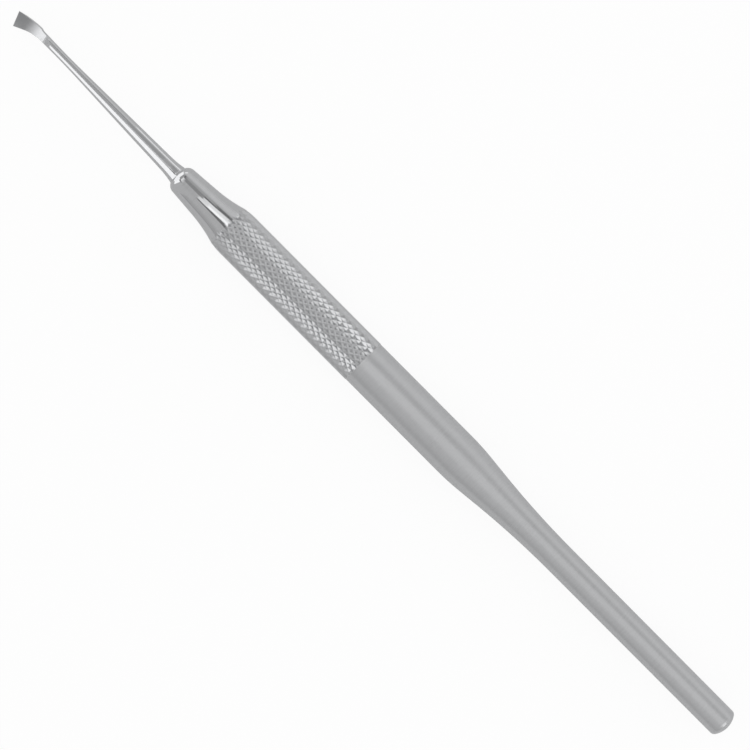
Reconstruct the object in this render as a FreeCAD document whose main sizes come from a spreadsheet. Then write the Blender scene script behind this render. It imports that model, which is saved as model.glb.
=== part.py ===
import FreeCAD, Part
import Sketcher
import math
import os

# Dental scaler, turned, knurled, drawn down and ground from one bar of stainless steel.
# The body is drawn with its origin on the axis, where the shank meets the rounded shoulder:
# the handle runs toward +X, the shank and blade toward -X, and the blade lies flat in XY.
# The finished part is then rolled about its axis and laid on the plane Z = 0.

SIZES = {
    # Nose: rounded shoulder, slim cone, and hollow flare up to the grip.
    "crease_radius": 1.60,
    "shoulder_round": 1.45,
    "nose_front_radius": 2.44,
    "nose_cone_angle": 4.36,
    "nose_length": 11.0,
    "flare_radius": 24.8,
    "flare_corner_round": 9.0,
    # Grip: the crests of the knurl stand a little above the smooth body behind them.
    "grip_radius": 4.0,
    "knurl_length": 31.0,
    "knurl_depth": 0.30,
    "knurl_pitch": 1.42,
    "knurl_starts": 26,
    "knurl_allowance": 0.06,
    # Smooth body, taper and rear part of the handle.
    "body_radius": 3.936,
    "body_length": 20.7,
    "taper_round": 47.0,
    "taper_angle": 5.8,
    "taper_hollow_radius": 157.0,
    "rear_radius": 2.53,
    "butt_radius": 2.48,
    "butt_corner_round": 0.8,
    "butt_dome_radius": 3.8,
    "handle_length": 124.6,
    # Shank: leans a little away from the side that the blade turns to.
    "shank_lean": 0.75,
    "shank_root_radius": 1.64,
    "shank_root_depth": 1.0,
    "shank_flare_radius": 16.0,
    "shank_cone_angle": 1.65,
    "waist_hollow_radius": 150.0,
    "waist_radius": 0.70,
    "waist_distance": 26.7,
    "neck_radius": 0.745,
    "shank_length": 31.2,
    # The end of the bar is upset into a bell, and the blade is then cut out of it.
    "bell_radius": 1.7,
    "upset_radius": 2.4,
    # Blade, seen on its face.
    "blade_turn": 18.5,
    "edge_width": 2.62,
    "edge_reach": 36.5,
    "edge_offset": 0.60,
    "side_run_out": 0.02,
    "outer_curve_radius": 16.0,
    "inner_curve_radius": 6.5,
    "inner_flank_angle": 27.0,
    # Blade, seen from its side: distances run along the turned blade from the cutting edge.
    "edge_thickness": 0.20,
    "edge_bevel": 0.08,
    "ground_length": 2.1,
    "ground_height": 0.36,
    "face_length": 5.9,
    "face_height": 0.40,
    "ramp_length": 1.4,
    "ramp_rise": 0.06,
    "back_length": 8.4,
    "cutting_clearance": 1.5,
    "blade_roll": 17.308,
}

doc = FreeCAD.newDocument("dental_scaler")
sheet = doc.addObject("Spreadsheet::Sheet", "Sizes")
for row, (alias, value) in enumerate(SIZES.items(), start=1):
    sheet.set(f"A{row}", alias)
    sheet.set(f"B{row}", str(value))
    sheet.setAlias(f"B{row}", alias)
doc.recompute()


def size(alias):
    """One driving dimension, read back from the sheet."""
    return float(sheet.get(alias))


def slope(alias):
    """One driving angle of the sheet, in radians."""
    return math.radians(size(alias))


def point(x, y):
    return FreeCAD.Vector(x, y, 0)


def toward(angle):
    """The unit vector at an angle from the sketch's X axis."""
    return point(math.cos(angle), math.sin(angle))


def new_sketch(body, name, plane_role):
    """An empty sketch on one of the body's origin planes."""
    sketch = body.newObject("Sketcher::SketchObject", name)
    plane = next(o for o in body.Origin.OriginFeatures if o.Role == plane_role)
    sketch.AttachmentSupport = [(plane, "")]
    sketch.MapMode = "FlatFace"
    return sketch


def line(sketch, start, end):
    """A line as (geometry, its first point, its last point)."""
    return sketch.addGeometry(Part.LineSegment(start, end), False), 1, 2


def arc(sketch, centre, start, end, clockwise):
    """An arc from start to end, as (geometry, its first point, its last point)."""
    first, last = (end, start) if clockwise else (start, end)
    circle = Part.Circle(centre, FreeCAD.Vector(0, 0, 1), (start - centre).Length)
    angles = [math.atan2(p.y - centre.y, p.x - centre.x) for p in (first, last)]
    number = sketch.addGeometry(Part.ArcOfCircle(circle, *angles), False)
    return (number, 2, 1) if clockwise else (number, 1, 2)


def join(sketch, pieces, smooth_joints):
    """Close a loop of pieces: each end meets the next start, tangent where asked."""
    for number, (piece, following) in enumerate(zip(pieces, pieces[1:] + pieces[:1])):
        kind = "Tangent" if number in smooth_joints else "Coincident"
        sketch.addConstraint(Sketcher.Constraint(kind, piece[0], piece[2], following[0], following[1]))


def bind(sketch, name, expression, kind, *where):
    """Add a named dimension whose value is worked out from the sheet."""
    value = sketch.evalExpression(expression)
    if kind == "Angle":
        value = math.radians(value.Value)
    number = sketch.addConstraint(Sketcher.Constraint(kind, *where, float(value)))
    sketch.renameConstraint(number, name)
    sketch.setExpression(f"Constraints.{name}", expression)


def tangent_run(start, angle, target, radius):
    """Where a line from start, at an angle, meets the tangent arc that bends upward to target."""
    ahead = (target - start).dot(toward(angle))
    aside = (target - start).dot(toward(angle + math.pi / 2))
    run = ahead - math.sqrt(2 * radius * aside - aside**2)
    return start + toward(angle) * run


ORIGIN = (-1, 1)
X_AXIS = -1
Y_AXIS = -2

blank = doc.addObject("PartDesign::Body", "Blank")

# The turned outline of the handle, from the crease at the shoulder to the domed butt.
# The grip is turned a little oversize, and the knurl then takes it down to its crests.
outline = new_sketch(blank, "HandleOutline", "XY_Plane")

cone = slope("nose_cone_angle")
shoulder = size("shoulder_round")
nose_front = size("nose_front_radius")
crease = point(0, size("crease_radius"))
shoulder_drop = crease.y - nose_front + shoulder * math.cos(cone)
cone_start = point(math.sqrt(shoulder**2 - shoulder_drop**2) - shoulder * math.sin(cone), nose_front)
shoulder_centre = cone_start - toward(cone + math.pi / 2) * shoulder

flare = size("flare_radius")
groove_start = point(size("nose_length"), size("grip_radius") - size("knurl_depth"))
flare_start = tangent_run(cone_start, cone, groove_start, flare)
flare_centre = flare_start + toward(cone + math.pi / 2) * flare

corner = size("flare_corner_round")
grip_blank = size("grip_radius") + size("knurl_allowance")
corner_rise = flare_centre.y - (grip_blank - corner)
corner_x = flare_centre.x + math.sqrt((flare + corner) ** 2 - corner_rise**2)
corner_centre = point(corner_x, grip_blank - corner)
corner_start = flare_centre + (corner_centre - flare_centre) * (flare / (flare + corner))
corner_end = point(corner_x, grip_blank)

grip_end = size("nose_length") + size("knurl_length")
body = size("body_radius")
body_end = point(grip_end + size("body_length"), body)
taper = slope("taper_angle")
taper_round = size("taper_round")
round_centre = body_end - point(0, taper_round)
round_end = round_centre + toward(math.pi / 2 - taper) * taper_round

hollow = size("taper_hollow_radius")
hollow_start_y = size("rear_radius") + hollow * (1 - math.cos(taper))
hollow_start_x = round_end.x + (round_end.y - hollow_start_y) / math.tan(taper)
hollow_start = point(hollow_start_x, hollow_start_y)
hollow_centre = hollow_start + toward(math.pi / 2 - taper) * hollow
hollow_end = hollow_centre - point(0, hollow)

butt = size("handle_length")
dome = size("butt_dome_radius")
butt_corner = size("butt_corner_round")
dome_centre = point(butt - dome, 0)
butt_rise = size("butt_radius") - butt_corner
butt_corner_x = dome_centre.x + math.sqrt((dome - butt_corner) ** 2 - butt_rise**2)
butt_corner_centre = point(butt_corner_x, butt_rise)
rear_end = point(butt_corner_x, size("butt_radius"))
dome_start = dome_centre + (butt_corner_centre - dome_centre) * (dome / (dome - butt_corner))
butt_end = point(butt, 0)

shoulder_face = line(outline, point(0, 0), crease)
shoulder_arc = arc(outline, shoulder_centre, crease, cone_start, True)
nose_line = line(outline, cone_start, flare_start)
flare_arc = arc(outline, flare_centre, flare_start, corner_start, False)
corner_arc = arc(outline, corner_centre, corner_start, corner_end, True)
grip_line = line(outline, corner_end, point(grip_end, grip_blank))
step_line = line(outline, point(grip_end, grip_blank), point(grip_end, body))
body_line = line(outline, point(grip_end, body), body_end)
round_arc = arc(outline, round_centre, body_end, round_end, True)
taper_line = line(outline, round_end, hollow_start)
hollow_arc = arc(outline, hollow_centre, hollow_start, hollow_end, False)
rear_line = line(outline, hollow_end, rear_end)
butt_arc = arc(outline, butt_corner_centre, rear_end, dome_start, True)
dome_arc = arc(outline, dome_centre, dome_start, butt_end, True)
axis_line = line(outline, butt_end, point(0, 0))
handle_loop = [
    shoulder_face, shoulder_arc, nose_line, flare_arc, corner_arc, grip_line, step_line, body_line,
    round_arc, taper_line, hollow_arc, rear_line, butt_arc, dome_arc, axis_line,
]
join(outline, handle_loop, {1, 2, 3, 4, 7, 8, 9, 10, 11, 12})
groove_point = outline.addGeometry(Part.Point(groove_start), True)

outline.addConstraint(Sketcher.Constraint("Coincident", shoulder_face[0], 1, *ORIGIN))
outline.addConstraint(Sketcher.Constraint("Vertical", shoulder_face[0]))
outline.addConstraint(Sketcher.Constraint("Horizontal", grip_line[0]))
outline.addConstraint(Sketcher.Constraint("Vertical", step_line[0]))
outline.addConstraint(Sketcher.Constraint("Horizontal", body_line[0]))
outline.addConstraint(Sketcher.Constraint("PointOnObject", dome_arc[0], 3, X_AXIS))
outline.addConstraint(Sketcher.Constraint("PointOnObject", axis_line[0], 1, X_AXIS))
outline.addConstraint(Sketcher.Constraint("PointOnObject", groove_point, 1, flare_arc[0]))
bind(outline, "crease", "Sizes.crease_radius", "DistanceY", *ORIGIN, shoulder_face[0], 2)
bind(outline, "shoulder", "Sizes.shoulder_round", "Radius", shoulder_arc[0])
bind(outline, "nose_front", "Sizes.nose_front_radius", "DistanceY", *ORIGIN, nose_line[0], 1)
bind(outline, "nose_cone", "Sizes.nose_cone_angle * 1 deg", "Angle", nose_line[0])
bind(outline, "flare", "Sizes.flare_radius", "Radius", flare_arc[0])
bind(outline, "groove_x", "Sizes.nose_length", "DistanceX", *ORIGIN, groove_point, 1)
bind(outline, "groove_y", "Sizes.grip_radius - Sizes.knurl_depth", "DistanceY", *ORIGIN, groove_point, 1)
bind(outline, "corner", "Sizes.flare_corner_round", "Radius", corner_arc[0])
bind(outline, "grip", "Sizes.grip_radius + Sizes.knurl_allowance", "DistanceY", *ORIGIN, grip_line[0], 1)
GRIP_END = "Sizes.nose_length + Sizes.knurl_length"
bind(outline, "grip_end", GRIP_END, "DistanceX", *ORIGIN, grip_line[0], 2)
bind(outline, "body", "Sizes.body_radius", "DistanceY", *ORIGIN, body_line[0], 1)
bind(outline, "body_length", "Sizes.body_length", "DistanceX", body_line[0], 1, body_line[0], 2)
bind(outline, "taper_round", "Sizes.taper_round", "Radius", round_arc[0])
bind(outline, "taper", "-Sizes.taper_angle * 1 deg", "Angle", taper_line[0])
bind(outline, "hollow", "Sizes.taper_hollow_radius", "Radius", hollow_arc[0])
bind(outline, "rear", "Sizes.rear_radius", "DistanceY", *ORIGIN, rear_line[0], 1)
bind(outline, "butt", "Sizes.butt_radius", "DistanceY", *ORIGIN, rear_line[0], 2)
bind(outline, "butt_corner", "Sizes.butt_corner_round", "Radius", butt_arc[0])
bind(outline, "dome", "Sizes.butt_dome_radius", "Radius", dome_arc[0])
bind(outline, "handle", "Sizes.handle_length", "DistanceX", *ORIGIN, axis_line[0], 1)

handle = blank.newObject("PartDesign::Revolution", "Handle")
handle.Profile = outline
handle.ReferenceAxis = (outline, ["H_Axis"])
handle.Angle = 360

# The shank's outline, drawn along its own axis: a flare at the shoulder, a slim cone, a hollow
# waist, a neck, and the bell from which the blade is cut. Its root end is sunk into the nose.
shank_outline = new_sketch(blank, "ShankOutline", "XY_Plane")
shank_outline.AttachmentOffset = FreeCAD.Placement(
    point(0, 0), FreeCAD.Rotation(FreeCAD.Vector(0, 0, -1), size("shank_lean"))
)
shank_outline.setExpression("AttachmentOffset.Rotation.Angle", "Sizes.shank_lean")

root = size("shank_root_radius")
root_end = point(size("shank_root_depth"), root)
root_corner = point(0, root)
shank_cone = slope("shank_cone_angle")
waist_round = size("waist_hollow_radius")
waist_centre = point(-size("waist_distance"), size("waist_radius") + waist_round)
waist_end = waist_centre + toward(shank_cone - math.pi / 2) * waist_round
shank_flare = size("shank_flare_radius")
shank_flare_start = tangent_run(waist_end, shank_cone, root_corner, shank_flare)
shank_flare_centre = shank_flare_start + toward(shank_cone + math.pi / 2) * shank_flare
neck_end = point(-size("shank_length"), size("neck_radius"))
neck_span = neck_end - waist_centre
neck_turn = math.acos(waist_round / neck_span.Length)
neck_start = waist_centre + toward(math.atan2(neck_span.y, neck_span.x) + neck_turn) * waist_round
bell = size("bell_radius")
neck_slope = math.atan2(neck_start.y - neck_end.y, neck_start.x - neck_end.x)
bell_centre = neck_end + toward(neck_slope + math.pi / 2) * bell
upset = size("upset_radius")
upset_x = bell_centre.x - math.sqrt(bell**2 - (upset - bell_centre.y) ** 2)
bar_end = -size("edge_reach") - size("cutting_clearance")

bar_face = line(shank_outline, point(bar_end, 0), point(bar_end, upset))
upset_line = line(shank_outline, point(bar_end, upset), point(upset_x, upset))
bell_arc = arc(shank_outline, bell_centre, point(upset_x, upset), neck_end, False)
neck_line = line(shank_outline, neck_end, neck_start)
waist_arc = arc(shank_outline, waist_centre, neck_start, waist_end, False)
shank_line = line(shank_outline, waist_end, shank_flare_start)
shank_flare_arc = arc(shank_outline, shank_flare_centre, shank_flare_start, root_corner, False)
root_line = line(shank_outline, root_corner, root_end)
root_face = line(shank_outline, root_end, point(root_end.x, 0))
shank_axis_line = line(shank_outline, point(root_end.x, 0), point(bar_end, 0))
shank_loop = [
    bar_face, upset_line, bell_arc, neck_line, waist_arc, shank_line, shank_flare_arc, root_line, root_face,
    shank_axis_line,
]
join(shank_outline, shank_loop, {2, 3, 4, 5})

shank_outline.addConstraint(Sketcher.Constraint("Vertical", bar_face[0]))
shank_outline.addConstraint(Sketcher.Constraint("PointOnObject", bar_face[0], 1, X_AXIS))
shank_outline.addConstraint(Sketcher.Constraint("Horizontal", upset_line[0]))
shank_outline.addConstraint(Sketcher.Constraint("Horizontal", root_line[0]))
shank_outline.addConstraint(Sketcher.Constraint("Vertical", root_face[0]))
shank_outline.addConstraint(Sketcher.Constraint("PointOnObject", root_face[0], 2, X_AXIS))
shank_outline.addConstraint(Sketcher.Constraint("PointOnObject", root_line[0], 1, Y_AXIS))
bind(
    shank_outline, "bar_end", "-Sizes.edge_reach - Sizes.cutting_clearance",
    "DistanceX", *ORIGIN, bar_face[0], 2,
)
bind(shank_outline, "upset", "Sizes.upset_radius", "DistanceY", *ORIGIN, bar_face[0], 2)
bind(shank_outline, "bell", "Sizes.bell_radius", "Radius", bell_arc[0])
bind(shank_outline, "length", "-Sizes.shank_length", "DistanceX", *ORIGIN, neck_line[0], 1)
bind(shank_outline, "neck", "Sizes.neck_radius", "DistanceY", *ORIGIN, neck_line[0], 1)
bind(shank_outline, "waist_x", "-Sizes.waist_distance", "DistanceX", *ORIGIN, waist_arc[0], 3)
bind(
    shank_outline, "waist_y", "Sizes.waist_radius + Sizes.waist_hollow_radius",
    "DistanceY", *ORIGIN, waist_arc[0], 3,
)
bind(shank_outline, "waist", "Sizes.waist_hollow_radius", "Radius", waist_arc[0])
bind(shank_outline, "cone", "Sizes.shank_cone_angle * 1 deg", "Angle", shank_line[0])
bind(shank_outline, "flare", "Sizes.shank_flare_radius", "Radius", shank_flare_arc[0])
bind(shank_outline, "root", "Sizes.shank_root_radius", "DistanceY", *ORIGIN, root_line[0], 1)
bind(shank_outline, "root_depth", "Sizes.shank_root_depth", "DistanceX", *ORIGIN, root_line[0], 2)

shank = blank.newObject("PartDesign::Revolution", "Shank")
shank.Profile = shank_outline
shank.ReferenceAxis = (shank_outline, ["H_Axis"])
shank.Angle = 360

# The sides of the blade, seen on its face: all of the bell outside this outline is cut away.
# The outline leaves the neck where the bell begins and spreads to the straight cutting edge.
sides = new_sketch(blank, "BladeSides", "XY_Plane")

turn = slope("blade_turn")
lean = slope("shank_lean")
edge_outer = point(-size("edge_reach"), size("edge_offset"))
edge_inner = edge_outer + toward(turn - math.pi / 2) * size("edge_width")
blade_root = point(-size("shank_length"), size("shank_length") * math.tan(lean))
half_root = size("neck_radius") + size("side_run_out")
root_outer = blade_root + point(0, half_root)
root_inner = blade_root - point(0, half_root)
outer_curve = size("outer_curve_radius")
outer_span = root_outer - edge_outer
outer_middle = (root_outer + edge_outer) / 2
outer_fall = math.sqrt(outer_curve**2 - (outer_span.Length / 2) ** 2)
outer_centre = outer_middle + toward(math.atan2(outer_span.y, outer_span.x) - math.pi / 2) * outer_fall
flank = slope("inner_flank_angle")
inner_curve = size("inner_curve_radius")
inner_span = root_inner - edge_inner
inner_aside = inner_span.dot(toward(flank - math.pi / 2))
inner_run = inner_span.dot(toward(flank)) - math.sqrt(2 * inner_curve * inner_aside - inner_aside**2)
inner_start = edge_inner + toward(flank) * inner_run
inner_centre = inner_start + toward(flank - math.pi / 2) * inner_curve
clear_x = bar_end - size("cutting_clearance")
clear_y = upset + 2 * size("cutting_clearance")

edge_line = line(sides, edge_outer, edge_inner)
flank_line = line(sides, edge_inner, inner_start)
inner_arc = arc(sides, inner_centre, inner_start, root_inner, True)
inner_wall = line(sides, root_inner, point(blade_root.x, -clear_y))
lower_line = line(sides, point(blade_root.x, -clear_y), point(clear_x, -clear_y))
front_line = line(sides, point(clear_x, -clear_y), point(clear_x, clear_y))
upper_line = line(sides, point(clear_x, clear_y), point(blade_root.x, clear_y))
outer_wall = line(sides, point(blade_root.x, clear_y), root_outer)
outer_arc = arc(sides, outer_centre, root_outer, edge_outer, False)
side_loop = [
    edge_line, flank_line, inner_arc, inner_wall, lower_line, front_line, upper_line, outer_wall, outer_arc,
]
join(sides, side_loop, {1})

for upright in (inner_wall, front_line, outer_wall):
    sides.addConstraint(Sketcher.Constraint("Vertical", upright[0]))
for level in (lower_line, upper_line):
    sides.addConstraint(Sketcher.Constraint("Horizontal", level[0]))
ROOT_Y = "Sizes.shank_length * tan(Sizes.shank_lean * 1 deg)"
HALF_ROOT = "(Sizes.neck_radius + Sizes.side_run_out)"
CLEAR_X = "-Sizes.edge_reach - 2 * Sizes.cutting_clearance"
CLEAR_Y = "Sizes.upset_radius + 2 * Sizes.cutting_clearance"
bind(sides, "reach", "-Sizes.edge_reach", "DistanceX", *ORIGIN, edge_line[0], 1)
bind(sides, "offset", "Sizes.edge_offset", "DistanceY", *ORIGIN, edge_line[0], 1)
bind(sides, "edge", "Sizes.edge_width", "Distance", edge_line[0], 1, edge_line[0], 2)
bind(sides, "turn", "(Sizes.blade_turn - 90) * 1 deg", "Angle", edge_line[0])
bind(sides, "flank", "Sizes.inner_flank_angle * 1 deg", "Angle", flank_line[0])
bind(sides, "inner", "Sizes.inner_curve_radius", "Radius", inner_arc[0])
bind(sides, "outer", "Sizes.outer_curve_radius", "Radius", outer_arc[0])
bind(sides, "inner_x", "-Sizes.shank_length", "DistanceX", *ORIGIN, inner_wall[0], 1)
bind(sides, "inner_y", f"{ROOT_Y} - {HALF_ROOT}", "DistanceY", *ORIGIN, inner_wall[0], 1)
bind(sides, "outer_x", "-Sizes.shank_length", "DistanceX", *ORIGIN, outer_wall[0], 2)
bind(sides, "outer_y", f"{ROOT_Y} + {HALF_ROOT}", "DistanceY", *ORIGIN, outer_wall[0], 2)
bind(sides, "clear_x", CLEAR_X, "DistanceX", *ORIGIN, front_line[0], 1)
bind(sides, "clear_low", f"-({CLEAR_Y})", "DistanceY", *ORIGIN, front_line[0], 1)
bind(sides, "clear_high", CLEAR_Y, "DistanceY", *ORIGIN, front_line[0], 2)

trimmed = blank.newObject("PartDesign::Pocket", "Trimmed")
trimmed.Profile = sides
trimmed.Type = "ThroughAll"
trimmed.Midplane = True

# What is ground away above the face and below the back, seen along the cutting edge.
# The sketch stands on the cutting edge: X runs along the turned blade, Y is its thickness.
grinding = new_sketch(blank, "Grinding", "XZ_Plane")
grinding.AttachmentOffset = FreeCAD.Placement(
    FreeCAD.Vector(-size("edge_reach"), 0, -size("edge_offset")),
    FreeCAD.Rotation(FreeCAD.Vector(0, 1, 0), size("blade_turn")),
)
grinding.setExpression("AttachmentOffset.Base.x", "-Sizes.edge_reach")
grinding.setExpression("AttachmentOffset.Base.z", "-Sizes.edge_offset")
grinding.setExpression("AttachmentOffset.Rotation.Angle", "Sizes.blade_turn")


def waste(sketch, name, corners):
    """A closed loop of lines through corners given as pairs of expressions."""
    places = [point(*[float(sketch.evalExpression(value)) for value in pair]) for pair in corners]
    sides = [line(sketch, a, b) for a, b in zip(places, places[1:] + places[:1])]
    join(sketch, sides, set())
    for number, (side, pair) in enumerate(zip(sides, corners)):
        for axis, value in zip("XY", pair):
            if float(sketch.evalExpression(value)) == 0:
                zero_line = Y_AXIS if axis == "X" else X_AXIS
                sketch.addConstraint(Sketcher.Constraint("PointOnObject", side[0], 1, zero_line))
            else:
                bind(sketch, f"{name}_{number}_{axis}", value, "Distance" + axis, *ORIGIN, side[0], 1)


CLEAR_FRONT = "-3 * Sizes.cutting_clearance"
CLEAR_ABOVE = "Sizes.upset_radius + Sizes.cutting_clearance"
CLEAR_BELOW = "-Sizes.upset_radius - Sizes.cutting_clearance"
RAMP_END = "Sizes.face_length + Sizes.ramp_length"
waste(grinding, "face", [
    (CLEAR_FRONT, "Sizes.edge_thickness / 2 - Sizes.edge_bevel"),
    ("0", "Sizes.edge_thickness / 2 - Sizes.edge_bevel"),
    ("Sizes.edge_bevel", "Sizes.edge_thickness / 2"),
    ("Sizes.ground_length", "Sizes.ground_height"),
    ("Sizes.face_length", "Sizes.face_height"),
    (RAMP_END, "Sizes.neck_radius + Sizes.ramp_rise"),
    (RAMP_END, CLEAR_ABOVE),
    (CLEAR_FRONT, CLEAR_ABOVE),
])
waste(grinding, "back", [
    (CLEAR_FRONT, CLEAR_BELOW),
    ("Sizes.back_length", CLEAR_BELOW),
    ("Sizes.back_length", "-Sizes.neck_radius - Sizes.ramp_rise"),
    ("0", "-Sizes.edge_thickness / 2"),
    (CLEAR_FRONT, "-Sizes.edge_thickness / 2"),
])

ground = blank.newObject("PartDesign::Pocket", "Ground")
ground.Profile = grinding
ground.Type = "ThroughAll"
ground.Midplane = True

# The knurl: two sets of ridges that run round the grip to the left and to the right. They
# cross in a net, with a four-sided pit in each of its diamonds.
starts = int(size("knurl_starts"))
crest = size("grip_radius")
valley = crest - size("knurl_depth")
row_pitch = size("knurl_pitch") / 2
row_turn = math.pi / starts
rows = math.ceil(size("knurl_length") / row_pitch) + 4


def around(row, column, radius):
    """A point of the knurl, on one of its rows along the grip and columns around it."""
    angle = column * row_turn
    along = grip_end + (row + 0.5) * row_pitch
    return FreeCAD.Vector(along, radius * math.cos(angle), radius * math.sin(angle))


def flat_face(*corners):
    return Part.Face(Part.makePolygon(corners + corners[:1]))


def pit_columns(row):
    """The columns that have a pit on this row. The ridges cross on the columns between them."""
    return range((row + 1) % 2, 2 * starts, 2)


def pit(row, column):
    """The four flanks of the pit that is centred on a row and column."""
    bottom = around(row, column, valley)
    corners = [
        around(row + down, column + across, crest) for down, across in ((-1, 0), (0, -1), (1, 0), (0, 1))
    ]
    return [flat_face(near, far, bottom) for near, far in zip(corners, corners[1:] + corners[:1])]


def end_cap(row, side):
    """Triangles that close the zigzag end of the outermost row of pits."""
    rim = []
    for column in pit_columns(row):
        rim += [around(row + side, column, crest), around(row, column + 1, crest)]
    hub = around(row + side, 0, 0)
    return [flat_face(hub, near, far) for near, far in zip(rim, rim[1:] + rim[:1])]


knurl_faces = end_cap(-rows, -1) + end_cap(1, 1)
for row in range(-rows, 2):
    for column in pit_columns(row):
        knurl_faces += pit(row, column)
knurl_shell = Part.makeShell(knurl_faces)
knurl_shell.sewShape()
knurl = doc.addObject("Part::Feature", "Knurl")
knurl.Shape = Part.makeSolid(knurl_shell)

# The knurling ring: what is pressed out of the grip. It reaches from the hollow flare, where
# the pits run out by themselves, to the end of the grip.
ring = doc.addObject("Part::Cylinder", "KnurlRing")
ring.setExpression("Radius", "Sizes.grip_radius + 1")
ring.setExpression("Height", "Sizes.knurl_length + Sizes.knurl_pitch")
ring.Placement = FreeCAD.Placement(
    FreeCAD.Vector(grip_end, 0, 0), FreeCAD.Rotation(FreeCAD.Vector(0, 1, 0), -90)
)
ring.setExpression("Placement.Base.x", GRIP_END)
pressed_out = doc.addObject("Part::Cut", "PressedOut")
pressed_out.Base = ring
pressed_out.Tool = knurl
pressed_out.Refine = False

# At rest it lies on two neighbouring rows of crossings, its middle over the frame's origin.
scaler = doc.addObject("Part::Cut", "Scaler")
scaler.Label = "scaler"
scaler.Base = blank
scaler.Tool = pressed_out
scaler.Refine = False
scaler.Placement = FreeCAD.Placement(
    point(0, 0), FreeCAD.Rotation(FreeCAD.Vector(1, 0, 0), size("blade_roll"))
)
scaler.setExpression("Placement.Rotation.Angle", "Sizes.blade_roll")
scaler.setExpression("Placement.Base.x", "(Sizes.edge_reach - Sizes.handle_length) / 2")
scaler.setExpression("Placement.Base.z", "Sizes.grip_radius * cos(90 deg / Sizes.knurl_starts)")
doc.recompute()

failed = [o.Name for o in doc.Objects if "Invalid" in o.State or "Error" in o.State]
if failed:
    raise RuntimeError(f"failed features: {failed}")
if scaler.Shape.isNull() or not scaler.Shape.isValid():
    raise RuntimeError(f"no sound solid: {scaler.Label}")
os.makedirs("parts", exist_ok=True)
scaler.Shape.exportStep(f"parts/{scaler.Label}.step")
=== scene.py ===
import bpy
import math
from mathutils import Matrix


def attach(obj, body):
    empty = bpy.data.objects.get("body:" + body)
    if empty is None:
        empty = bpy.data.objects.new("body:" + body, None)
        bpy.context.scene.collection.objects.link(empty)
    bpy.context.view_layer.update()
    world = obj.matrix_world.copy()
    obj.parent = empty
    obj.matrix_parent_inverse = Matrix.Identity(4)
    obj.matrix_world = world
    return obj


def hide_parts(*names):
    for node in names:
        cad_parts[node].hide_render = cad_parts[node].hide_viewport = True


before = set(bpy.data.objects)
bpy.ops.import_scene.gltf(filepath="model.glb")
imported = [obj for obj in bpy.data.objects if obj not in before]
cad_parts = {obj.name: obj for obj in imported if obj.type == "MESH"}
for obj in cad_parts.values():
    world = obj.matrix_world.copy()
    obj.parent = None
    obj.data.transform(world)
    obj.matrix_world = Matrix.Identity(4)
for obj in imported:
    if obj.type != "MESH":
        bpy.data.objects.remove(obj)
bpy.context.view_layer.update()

# Handle: a bar of stainless steel, turned to a slim nose with a rounded shoulder, a hollow flare,
# a grip, a plain body, a long taper and a domed butt, with a satin finish. Sizes are millimetres
# along its axis from the crease, where the shank begins. A corner is (place, radius, rounding).
MM = 0.001
HANDLE_OUTLINE = [
    (0, 0, 0), (0, 1.60, 0), (0.3565, 2.3751, 1.45), (8.5798, 3.0021, 24.8),
    (12.2485, 4.06, 9.0), (42.0, 4.06, 0), (42.0, 3.936, 0), (65.081, 3.936, 47.0),
    (78.923, 2.53, 157.0), (123.711, 2.4794, 0.8), (124.5998, 1.164, 3.8), (124.5998, 0, 0),
]
AROUND = 144
ARC_STEP = math.radians(2)
ARC_CHORD = 1.2
LONG_STRAIGHT = 1.5
GUARD = 0.12
WELD = 0.0001
STEEL = (0.62, 0.625, 0.635)
CLOUDS_PER_METRE = 160
NOISE_LOW, NOISE_HIGH = 0.6, 1.4
TINT_LOW, TINT_HIGH = 0.35, 0.65
DARKER, LIGHTER = 0.97, 1.03


def rounded_line(corners):
    """The line through corners given as (x, y, rounding), with its rounded corners as arcs."""
    line = [corners[0][:2]]
    for before, (x, y, rounding), after in zip(corners, corners[1:], corners[2:]):
        if not rounding:
            line.append((x, y))
            continue
        arriving = math.atan2(y - before[1], x - before[0])
        leaving = math.atan2(after[1] - y, after[0] - x)
        turn = math.remainder(leaving - arriving, 2 * math.pi)
        side = math.copysign(1, turn)
        reach = rounding * math.tan(abs(turn) / 2)
        centre_x = x - reach * math.cos(arriving) - side * rounding * math.sin(arriving)
        centre_y = y - reach * math.sin(arriving) + side * rounding * math.cos(arriving)
        steps = max(math.ceil(abs(turn) / ARC_STEP), math.ceil(abs(turn) * rounding / ARC_CHORD))
        for step in range(steps + 1):
            angle = arriving + turn * step / steps
            line.append((
                centre_x + side * rounding * math.sin(angle),
                centre_y - side * rounding * math.cos(angle),
            ))
    line.append(corners[-1][:2])
    return line


def with_guards(line):
    """The line with a point near both ends of each long straight, which keeps shading true there."""
    guarded = line[:1]
    for (x0, y0), (x1, y1) in zip(line, line[1:]):
        length = math.hypot(x1 - x0, y1 - y0)
        if length > LONG_STRAIGHT:
            for share in (GUARD / length, 1 - GUARD / length):
                guarded.append((x0 + share * (x1 - x0), y0 + share * (y1 - y0)))
        guarded.append((x1, y1))
    return guarded


def draw_line(name, points):
    """A new piece, left in edit mode: one vertex, extruded from point to point in millimetres."""
    bpy.ops.object.select_all(action="DESELECT")
    bpy.ops.mesh.primitive_plane_add(size=MM)
    piece = bpy.context.object
    piece.name = piece.data.name = name
    bpy.ops.object.mode_set(mode="EDIT")
    bpy.ops.mesh.select_mode(type="VERT")
    bpy.ops.mesh.select_all(action="SELECT")
    bpy.ops.mesh.merge(type="CENTER")
    bpy.ops.transform.translate(value=[v * MM for v in points[0]])
    for here, there in zip(points, points[1:]):
        step = [(b - a) * MM for a, b in zip(here, there)]
        bpy.ops.mesh.extrude_vertices_move(TRANSFORM_OT_translate={"value": step})
    return piece


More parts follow.
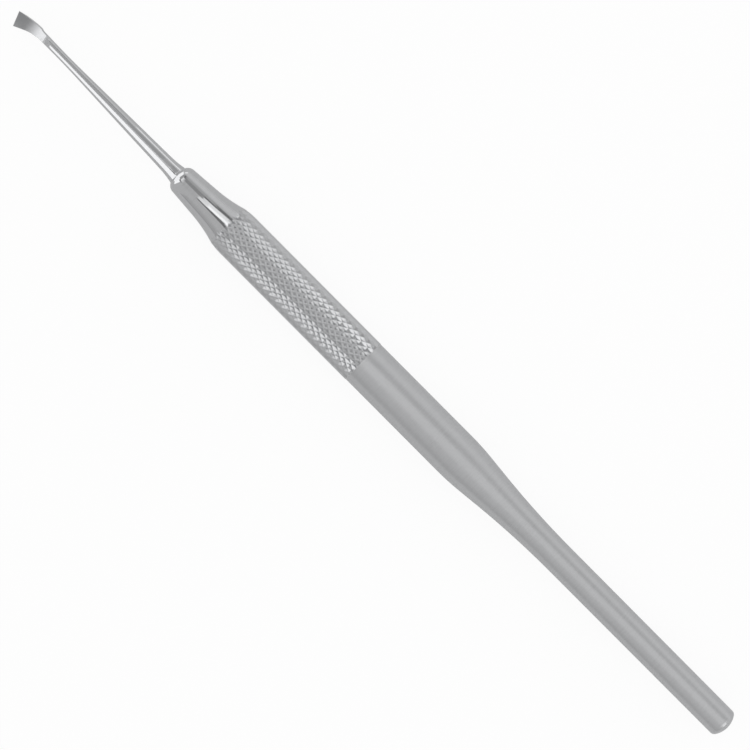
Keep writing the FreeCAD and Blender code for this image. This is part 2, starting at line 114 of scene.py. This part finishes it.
def close_up():
    """Merge doubles, turn all faces outward and leave edit mode."""
    bpy.ops.mesh.select_all(action="SELECT")
    bpy.ops.mesh.remove_doubles(threshold=WELD * MM)
    bpy.ops.mesh.normals_make_consistent(inside=False)
    bpy.ops.object.mode_set(mode="OBJECT")


def turned(name, outline):
    """A piece turned on the lathe: its outline, spun once round the X axis."""
    piece = draw_line(name, [(x, radius, 0) for x, radius in with_guards(rounded_line(outline))])
    bpy.ops.mesh.select_all(action="SELECT")
    bpy.ops.mesh.spin(steps=AROUND, angle=2 * math.pi, center=(0, 0, 0), axis=(1, 0, 0))
    close_up()
    return piece


def steel(name, colour, roughness, spread, grain, grain_depth):
    """Bare steel whose roughness varies by spread, with a grain of fine marks in its surface."""
    material = bpy.data.materials.new(name)
    material.use_nodes = True
    nodes, links = material.node_tree.nodes, material.node_tree.links
    shader = nodes["Principled BSDF"]
    shader.inputs["Metallic"].default_value = 1
    place = nodes.new("ShaderNodeTexCoord")
    stretch = nodes.new("ShaderNodeMapping")
    stretch.inputs["Scale"].default_value = grain
    links.new(place.outputs["Object"], stretch.inputs["Vector"])
    marks = nodes.new("ShaderNodeTexNoise")
    marks.inputs["Scale"].default_value = 1
    marks.inputs["Detail"].default_value = 4
    links.new(stretch.outputs["Vector"], marks.inputs["Vector"])
    clouds = nodes.new("ShaderNodeTexNoise")
    clouds.inputs["Scale"].default_value = CLOUDS_PER_METRE
    clouds.inputs["Detail"].default_value = 3
    links.new(place.outputs["Object"], clouds.inputs["Vector"])
    both = nodes.new("ShaderNodeMath")
    both.operation = "ADD"
    links.new(marks.outputs["Fac"], both.inputs[0])
    links.new(clouds.outputs["Fac"], both.inputs[1])
    rough = nodes.new("ShaderNodeMapRange")
    rough.inputs["From Min"].default_value = NOISE_LOW
    rough.inputs["From Max"].default_value = NOISE_HIGH
    rough.inputs["To Min"].default_value = roughness - spread
    rough.inputs["To Max"].default_value = roughness + spread
    links.new(both.outputs["Value"], rough.inputs["Value"])
    links.new(rough.outputs["Result"], shader.inputs["Roughness"])
    tint = nodes.new("ShaderNodeValToRGB")
    dark, light = tint.color_ramp.elements
    dark.position, light.position = TINT_LOW, TINT_HIGH
    dark.color = [*(c * DARKER for c in colour), 1]
    light.color = [*(c * LIGHTER for c in colour), 1]
    links.new(marks.outputs["Fac"], tint.inputs["Fac"])
    links.new(tint.outputs["Color"], shader.inputs["Base Color"])
    relief = nodes.new("ShaderNodeBump")
    relief.inputs["Strength"].default_value = 1
    relief.inputs["Distance"].default_value = grain_depth
    links.new(marks.outputs["Fac"], relief.inputs["Height"])
    links.new(relief.outputs["Normal"], shader.inputs["Normal"])
    return material


handle = turned("scaler_steel", HANDLE_OUTLINE)
satin = steel("satin_steel", STEEL, 0.32, 0.05, (9000, 500, 500), 1e-6)
handle.data.materials.append(satin)

# Knurl: two sets of ridges, rolled into the grip to the left and to the right by hard wheels.
# They cross in a net of twenty-six pits round each row, and handling has dulled the crossings.
# The net is made as the inside of a ring, and the ring is cut out of the grip.
PITS_AROUND = 26
PITCH = 1.42
VALLEY = 3.70
CREST = 3.9995
MIDWAY = (CREST + VALLEY) / 2
KNURL_START = 9.58
KNURL_END = 42.0
CREST_WEAR = 0.045
ROW_PITCH = PITCH / 2
SPARE_ROWS = 3
ROWS = math.ceil((KNURL_END - KNURL_START) / ROW_PITCH) + SPARE_ROWS
# The rear end of the knurl cuts midway between two rows.
FIRST_ROW = KNURL_END + (0.5 - ROWS) * ROW_PITCH
# Rows between two places on the axis that are drawn in to the flare, by a factor.
FLARE_ROWS = ((11.5, 12.2, 0.966), (12.2, 12.9, 0.990))
# The pits beyond the knurl's rear end, which are drawn out so that the last ones run shallow.
LAST_PITS = (42.0, 42.7, 1.055)
RING_RADIUS = 5.0
OUTSIDE_GRIP = 4.5
SAME_PLACE = 0.001
CLEAN_CUT = 0.00001


def spread_from_axis(factor):
    """Scale the selection away from the X axis, or toward it."""
    bpy.ops.transform.resize(value=(1, factor, factor), center_override=(0, 0, 0))


def select_where(piece, kind, test):
    """Select the vertices or edges for which the test holds, and stay in edit mode."""
    bpy.ops.mesh.select_mode(type={"vertices": "VERT", "edges": "EDGE"}[kind])
    bpy.ops.mesh.select_all(action="DESELECT")
    bpy.ops.object.mode_set(mode="OBJECT")
    for element in getattr(piece.data, kind):
        element.select = test(element)
    bpy.ops.object.mode_set(mode="EDIT")


def along(vertex):
    """A vertex's place along the instrument, in millimetres."""
    return vertex.co.x / MM


def from_axis(vertex):
    """A vertex's distance from the instrument's axis, in millimetres."""
    return math.hypot(vertex.co.y, vertex.co.z) / MM


bpy.ops.object.select_all(action="DESELECT")
bpy.ops.mesh.primitive_circle_add(
    vertices=2 * PITS_AROUND, radius=VALLEY * MM,
    location=(FIRST_ROW * MM, 0, 0), rotation=(0, math.pi / 2, 0),
)
ring = bpy.context.object
ring.name = ring.data.name = "knurling_ring"
bpy.ops.object.transform_apply(location=True, rotation=True, scale=True)
bpy.ops.object.mode_set(mode="EDIT")
bpy.ops.mesh.select_all(action="SELECT")
for row in range(ROWS + 1):
    bpy.ops.mesh.extrude_region_move(TRANSFORM_OT_translate={"value": (ROW_PITCH * MM, 0, 0)})


def is_crossing(vertex):
    """True for the vertices of the net where two ridges cross; the others are pits."""
    row = round((along(vertex) - FIRST_ROW) / ROW_PITCH) - ROWS
    column = round(math.atan2(vertex.co.z, vertex.co.y) / (math.pi / PITS_AROUND))
    return (row + column) % 2 == 0


def ends(edge):
    """The two vertices of one of the ring's edges."""
    return [ring.data.vertices[number] for number in edge.vertices]


select_where(ring, "vertices", is_crossing)
spread_from_axis(CREST / VALLEY)
bpy.ops.mesh.select_all(action="SELECT")
bpy.ops.mesh.quads_convert_to_tris(quad_method="LONGEST_DIAGONAL")
select_where(ring, "vertices", lambda v: from_axis(v) > MIDWAY)
bpy.ops.mesh.bevel(offset=CREST_WEAR * MM, affect="VERTICES")
for start, end, factor in FLARE_ROWS:
    select_where(ring, "vertices", lambda v: start < along(v) < end)
    spread_from_axis(factor)
start, end, factor = LAST_PITS
select_where(ring, "vertices", lambda v: start < along(v) < end and from_axis(v) < MIDWAY)
spread_from_axis(factor)
for x, side in ((KNURL_START, -1), (KNURL_END, 1)):
    bpy.ops.mesh.select_all(action="SELECT")
    bpy.ops.mesh.bisect(
        plane_co=(x * MM, 0, 0), plane_no=(side, 0, 0),
        clear_outer=True, clear_inner=False, threshold=CLEAN_CUT * MM,
    )
for x in (KNURL_START, KNURL_END):
    select_where(ring, "edges", lambda e: all(abs(along(v) - x) < SAME_PLACE for v in ends(e)))
    bpy.ops.mesh.extrude_region_move()
    spread_from_axis(RING_RADIUS / VALLEY)
select_where(ring, "edges", lambda e: all(from_axis(v) > OUTSIDE_GRIP for v in ends(e)))
bpy.ops.mesh.bridge_edge_loops()
close_up()


def carve(piece, tool, operation="DIFFERENCE"):
    """Cut the tool out of the piece, or join it on, and keep the tool's finish on the cut."""
    step = piece.modifiers.new(operation.lower(), "BOOLEAN")
    step.operation = operation
    step.solver = "MANIFOLD"
    step.material_mode = "TRANSFER"
    step.object = tool
    bpy.ops.object.select_all(action="DESELECT")
    bpy.context.view_layer.objects.active = piece
    bpy.ops.object.modifier_apply(modifier=step.name)
    bpy.data.objects.remove(tool)


knurled = steel("knurled_steel", STEEL, 0.20, 0.05, (5000, 5000, 5000), 0.5e-6)
ring.data.materials.append(knurled)
carve(handle, ring)

# Shank and blade: the thin end of the same bar, drawn down and polished, its tip upset, cut to
# a small flat blade that turns to one side, and ground. It leans a little off the handle's axis.
# The waste of each cut is given as (x, y) in plan or (x, z) from the side, with a rounding.
SHANK_OUTLINE = [
    (-38.0, 0, 0), (-38.0, 2.4, 0), (-32.878, 2.4, 0), (-32.8347, 0.7657, 1.7),
    (-25.4908, 0.6726, 150.0), (-1.3431, 1.3682, 16.0), (0, 1.64, 0), (1.0, 1.64, 0), (1.0, 0, 0),
]
SHANK_LEAN = math.radians(0.75)
SIDE_WASTE = [
    (-36.5, 0.60, 0), (-35.6687, -1.8846, 0), (-32.7117, -0.3779, 6.5), (-31.2, -0.3566, 0),
    (-31.2, -6, 0), (-41, -6, 0), (-41, 6, 0), (-31.2, 6, 0), (-31.2, 1.1734, 0),
    (-33.898, 1.3345, 16.0), (-36.5, 0.60, 0),
]
SIDE_WASTE_HEIGHT = 8
FACE_WASTE = [
    (-4.5, 0.02, 0), (0, 0.02, 0), (0.08, 0.10, 0), (2.1, 0.36, 0), (5.9, 0.40, 0),
    (7.3, 0.805, 0), (7.3, 3.9, 0), (-4.5, 3.9, 0), (-4.5, 0.02, 0),
]
BACK_WASTE = [
    (-4.5, -3.9, 0), (8.4, -3.9, 0), (8.4, -0.805, 0), (0, -0.10, 0), (-4.5, -0.10, 0),
    (-4.5, -3.9, 0),
]
FLAT_WASTE_WIDTH = 16
BLADE_TURN = math.radians(18.5)
EDGE_CORNER = (-36.5, 0.60, 0)
# The finished scaler is rolled about its axis and laid on the table. Its nose is polished.
BLADE_ROLL = math.radians(17.308)
CREASE_PLACE = (-44.05, 0, 3.9927)
POLISHED_NOSE = 13.6
SMOOTH_BELOW = math.radians(12)
GROUND_STEEL = (0.50, 0.505, 0.515)


def settle(piece, location=(0, 0, 0), rotation=(0, 0, 0)):
    """Move and turn a piece, then make that place part of its mesh."""
    bpy.ops.object.select_all(action="DESELECT")
    piece.select_set(True)
    bpy.context.view_layer.objects.active = piece
    piece.location = [v * MM for v in location]
    piece.rotation_euler = rotation
    bpy.ops.object.transform_apply(location=True, rotation=True, scale=True)


def waste_block(name, points, depth, finish):
    """What a cut takes away: a closed outline, filled and extruded by depth."""
    piece = draw_line(name, points)
    bpy.ops.mesh.select_all(action="SELECT")
    bpy.ops.mesh.remove_doubles(threshold=WELD * MM)
    bpy.ops.mesh.edge_face_add()
    bpy.ops.mesh.extrude_region_move(TRANSFORM_OT_translate={"value": [v * MM for v in depth]})
    close_up()
    piece.data.materials.append(finish)
    return piece


polished = steel("polished_steel", STEEL, 0.10, 0.03, (9000, 700, 700), 0.2e-6)
ground = steel("ground_steel", GROUND_STEEL, 0.42, 0.05, (1500, 12000, 1500), 1e-6)
shank = turned("shank", SHANK_OUTLINE)
shank.data.materials.append(polished)
settle(shank, rotation=(0, 0, -SHANK_LEAN))
side_line = [(x, y, -SIDE_WASTE_HEIGHT / 2) for x, y in rounded_line(SIDE_WASTE)]
carve(shank, waste_block("side_waste", side_line, (0, 0, SIDE_WASTE_HEIGHT), polished))
for name, outline in (("face_waste", FACE_WASTE), ("back_waste", BACK_WASTE)):
    flat_line = [(x, -FLAT_WASTE_WIDTH / 2, z) for x, z in rounded_line(outline)]
    block = waste_block(name, flat_line, (0, FLAT_WASTE_WIDTH, 0), ground)
    settle(block, location=EDGE_CORNER, rotation=(0, 0, BLADE_TURN))
    carve(shank, block)
carve(handle, shank, "UNION")
scaler = handle
settle(scaler, rotation=(BLADE_ROLL, 0, 0))
settle(scaler, location=CREASE_PLACE)
satin_slot, polished_slot = (scaler.data.materials.find(m.name) for m in (satin, polished))
for face in scaler.data.polygons:
    if face.material_index == satin_slot and face.center.x < (CREASE_PLACE[0] + POLISHED_NOSE) * MM:
        face.material_index = polished_slot
bpy.ops.object.shade_smooth_by_angle(angle=SMOOTH_BELOW)
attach(scaler, "root")
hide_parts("scaler")

# Table and room: a sheet of white board under the instrument, in a pale room. Both look plain
# white when seen directly, and light the instrument less than that, so that it doesn't wash out.
TABLE_WIDTH = 3000
BOARD = (0.92, 0.92, 0.92, 1)
ROOM = (0.7, 0.7, 0.7, 1)
WHITE = (1, 1, 1, 1)
WHITE_GLOW = 1.05
GLOW_TO_CAMERA = 0.86
GLOW_TO_METAL = 0.10


def seen_directly(nodes, links, to_camera, to_metal):
    """How much of the plain white shows to the camera, and to reflected and refracted rays."""
    path = nodes.new("ShaderNodeLightPath")
    total = nodes.new("ShaderNodeMath")
    total.operation = "MULTIPLY"
    total.inputs[1].default_value = to_camera
    links.new(path.outputs["Is Camera Ray"], total.inputs[0])
    for kind in ("Is Glossy Ray", "Is Transmission Ray"):
        more = nodes.new("ShaderNodeMath")
        more.operation = "MULTIPLY_ADD"
        more.inputs[1].default_value = to_metal
        links.new(path.outputs[kind], more.inputs[0])
        links.new(total.outputs["Value"], more.inputs[2])
        total = more
    return total.outputs["Value"]


bpy.ops.object.select_all(action="DESELECT")
bpy.ops.mesh.primitive_plane_add(size=TABLE_WIDTH * MM)
floor = bpy.context.object
floor.name = "floor"
table = bpy.data.materials.new("white_table")
table.use_nodes = True
nodes, links = table.node_tree.nodes, table.node_tree.links
paint = nodes["Principled BSDF"]
paint.inputs["Base Color"].default_value = BOARD
paint.inputs["Roughness"].default_value = 0.9
paint.inputs["Specular IOR Level"].default_value = 0
glow = nodes.new("ShaderNodeEmission")
glow.inputs["Strength"].default_value = WHITE_GLOW
mix = nodes.new("ShaderNodeMixShader")
links.new(seen_directly(nodes, links, GLOW_TO_CAMERA, GLOW_TO_METAL), mix.inputs["Fac"])
links.new(paint.outputs["BSDF"], mix.inputs[1])
links.new(glow.outputs["Emission"], mix.inputs[2])
links.new(mix.outputs["Shader"], nodes["Material Output"].inputs["Surface"])
floor.data.materials.append(table)

world = bpy.data.worlds.new("studio")
bpy.context.scene.world = world
world.use_nodes = True
nodes, links = world.node_tree.nodes, world.node_tree.links
room = nodes["Background"]
room.inputs["Color"].default_value = ROOM
white = nodes.new("ShaderNodeBackground")
white.inputs["Color"].default_value = WHITE
mix = nodes.new("ShaderNodeMixShader")
links.new(seen_directly(nodes, links, 1, 1), mix.inputs["Fac"])
links.new(room.outputs["Background"], mix.inputs[1])
links.new(white.outputs["Background"], mix.inputs[2])
links.new(mix.outputs["Shader"], nodes["World Output"].inputs["Surface"])

# Tent: a dome of pale cloth over the table, lit unevenly from outside. Its light is given by
# the angle across the instrument, in degrees from overhead, and it is what the steel mirrors.
TENT_RADIUS = 900
TENT_EDGE = -1
TENT_LEVELS = [
    (-90, 0.48), (-75, 0.50), (-60, 0.57), (-45, 0.61), (-30, 0.60), (-22, 0.66), (-15, 0.73),
    (0, 0.71), (15, 0.75), (25, 0.58), (35, 0.53), (45, 0.58), (60, 0.74), (75, 0.73), (90, 0.66),
]


def lit(name, strength):
    """The material of lit cloth or card, which only gives white light."""
    material = bpy.data.materials.new(name)
    material.use_nodes = True
    nodes, links = material.node_tree.nodes, material.node_tree.links
    nodes.remove(nodes["Principled BSDF"])
    glow = nodes.new("ShaderNodeEmission")
    glow.inputs["Color"].default_value = WHITE
    glow.inputs["Strength"].default_value = strength
    links.new(glow.outputs["Emission"], nodes["Material Output"].inputs["Surface"])
    return material


bpy.ops.mesh.primitive_uv_sphere_add(segments=48, ring_count=24, radius=TENT_RADIUS * MM)
tent = bpy.context.object
tent.name = "tent"
bpy.ops.object.mode_set(mode="EDIT")
bpy.ops.mesh.select_all(action="SELECT")
bpy.ops.mesh.bisect(plane_co=(0, 0, TENT_EDGE * MM), plane_no=(0, 0, -1), clear_outer=True)
bpy.ops.object.mode_set(mode="OBJECT")
cloth = lit("tent_cloth", 1)
nodes, links = cloth.node_tree.nodes, cloth.node_tree.links
place = nodes.new("ShaderNodeTexCoord")
apart = nodes.new("ShaderNodeSeparateXYZ")
links.new(place.outputs["Object"], apart.inputs["Vector"])
around = nodes.new("ShaderNodeMath")
around.operation = "ARCTAN2"
links.new(apart.outputs["Y"], around.inputs[0])
links.new(apart.outputs["Z"], around.inputs[1])
share = nodes.new("ShaderNodeMapRange")
share.inputs["From Min"].default_value = -math.pi / 2
share.inputs["From Max"].default_value = math.pi / 2
links.new(around.outputs["Value"], share.inputs["Value"])
level = nodes.new("ShaderNodeFloatCurve")
links.new(share.outputs["Result"], level.inputs["Value"])
curve = level.mapping.curves[0]
for angle, strength in TENT_LEVELS[1:-1]:
    curve.points.new((angle + 90) / 180, strength)
curve.points[0].location = (0, TENT_LEVELS[0][1])
curve.points[-1].location = (1, TENT_LEVELS[-1][1])
level.mapping.update()
links.new(level.outputs["Value"], nodes["Emission"].inputs["Strength"])
tent.data.materials.append(cloth)

# Cards: white and grey pieces of lit card that stand round the instrument, out of the picture.
# Each is there for one bright or dark line in the polished steel. A card's name says where it is
# mirrored, its strength comes next, and its size is along and across the instrument.
NEAR_REACH = 14
NOSE_REACH = 11.7
AXIS_HEIGHT = 4
PANEL_HEIGHT = 300
NOSE_X = -38


def card(name, strength, size, location, tilt=0, stand=0, turn=0):
    """A flat card: tipped to the far side, stood up from the table and turned, in degrees."""
    bpy.ops.object.select_all(action="DESELECT")
    bpy.ops.mesh.primitive_plane_add(size=1)
    sheet = bpy.context.object
    sheet.name = name
    sheet.scale = (size[0] * MM, size[1] * MM, 1)
    sheet.rotation_euler = (-math.radians(tilt), math.radians(stand), math.radians(turn))
    sheet.location = [v * MM for v in location]
    sheet.data.materials.append(lit(name, strength))
    sheet.visible_diffuse = False
    return sheet


def near_card(name, strength, start, end, low, high, reach=NEAR_REACH):
    """A card from start to end along the instrument, from low to high degrees from overhead."""
    middle, half = (low + high) / 2, (high - low) / 2
    width = 2 * reach * math.tan(math.radians(half))
    turn = math.radians(middle)
    place = ((start + end) / 2, reach * math.sin(turn), reach * math.cos(turn) + AXIS_HEIGHT)
    return card(name, strength, (end - start, width), place, middle)


def high_card(name, strength, start, end, low, high, height=PANEL_HEIGHT):
    """A level card, from start to end degrees along the instrument and low to high across it."""
    near, far, left, right = (height * math.tan(math.radians(v)) for v in (start, end, low, high))
    place = ((near + far) / 2 + NOSE_X, (left + right) / 2, height)
    return card(name, strength, (far - near, right - left), place)


shank_cards = [
    near_card("side_panel", 1.45, -75.3, -47, -80, -18.5),
    near_card("shank_shade", 0.46, -76.5, -49.5, -5.5, 14),
    near_card("shank_half_shade", 0.56, -76.5, -58, 14, 36),
    near_card("shank_root_shade", 0.46, -58, -49.5, 14, 44),
    near_card("root_half_shade", 0.52, -49.5, -48, -7.5, 44),
    near_card("root_line", 1.3, -56, -48, 62, 73),
]
shoulder_cards = [
    card("far_panel", 1.5, (115, 60), (-150, 0, 62), 0, 90),
    card("shoulder_flag", 0.62, (24, 14), (-44.6, -10, 10), 0, -90),
    card("rim_card", 1.7, (7, 4), (-49, 0, 0.3)),
    card("shoulder_card", 1.4, (1.2, 2.9), (-44.3, 0, 6.22), 0, 90),
    card("crease_flag", 0.46, (0.25, 1.4), (-44.19, 0.5, 5.7)),
]
nose_cards = [
    near_card("nose_centre", 0.585, -45.0, -41.25, -24, 5.5, NOSE_REACH),
    near_card("nose_shade", 0.36, -45.0, -40.5, 5.5, 27, NOSE_REACH),
    near_card("nose_half_shade", 0.50, -45.0, -39.5, 27, 39, NOSE_REACH),
    card("front_panel", 1.5, (245, 66), (-169.5, -6.5, PANEL_HEIGHT), 0, 0, -20),
    card("front_half_panel", 1.15, (245, 96), (-169.5, 79.5, PANEL_HEIGHT), 0, 0, -20),
    card("front_first_panel", 1.05, (70, 155), (-101, 12, PANEL_HEIGHT - 1)),
    card("front_shade", 0.20, (194, 391), (-193, 85, PANEL_HEIGHT + 1)),
]
handle_cards = [
    high_card("grip_panel", 1.25, -54, -42, -45, -8),
    high_card("rear_panel", 1.3, 37.6, 51, -28, 32, 450),
    high_card("butt_panel", 1.6, 62, 75, -25, 25, 200),
]
blade_cards = [
    card("tip_panel", 2.1, (2.4, 8), (-75.6, 0, 7.0)),
    card("tip_half_panel", 0.95, (1.3, 8), (-77.45, 0, 7.0)),
    card("tip_shade", 0.40, (9, 8), (-82.6, 0, 7.0)),
    card("ramp_flag", 0.75, (2.3, 6), (-74.55, 0, 5.75), 0, 90),
]
cards = shank_cards + shoulder_cards + nose_cards + handle_cards + blade_cards
for piece in [tent, *cards]:
    piece.visible_camera = False

# Camera: a long lens straight above the instrument, which lies from the upper left, where its
# blade is, to the lower right.
LENS_PLACE = (0.836, -0.161, 454)
LENS_TURN = math.radians(45.136)
NEAREST = 10
bpy.ops.object.camera_add(location=[v * MM for v in LENS_PLACE], rotation=(0, 0, LENS_TURN))
camera = bpy.context.object
camera.data.lens = 135
camera.data.sensor_width = 36
camera.data.clip_start = NEAREST * MM
bpy.context.scene.camera = camera
bpy.context.scene.view_settings.view_transform = "Standard"
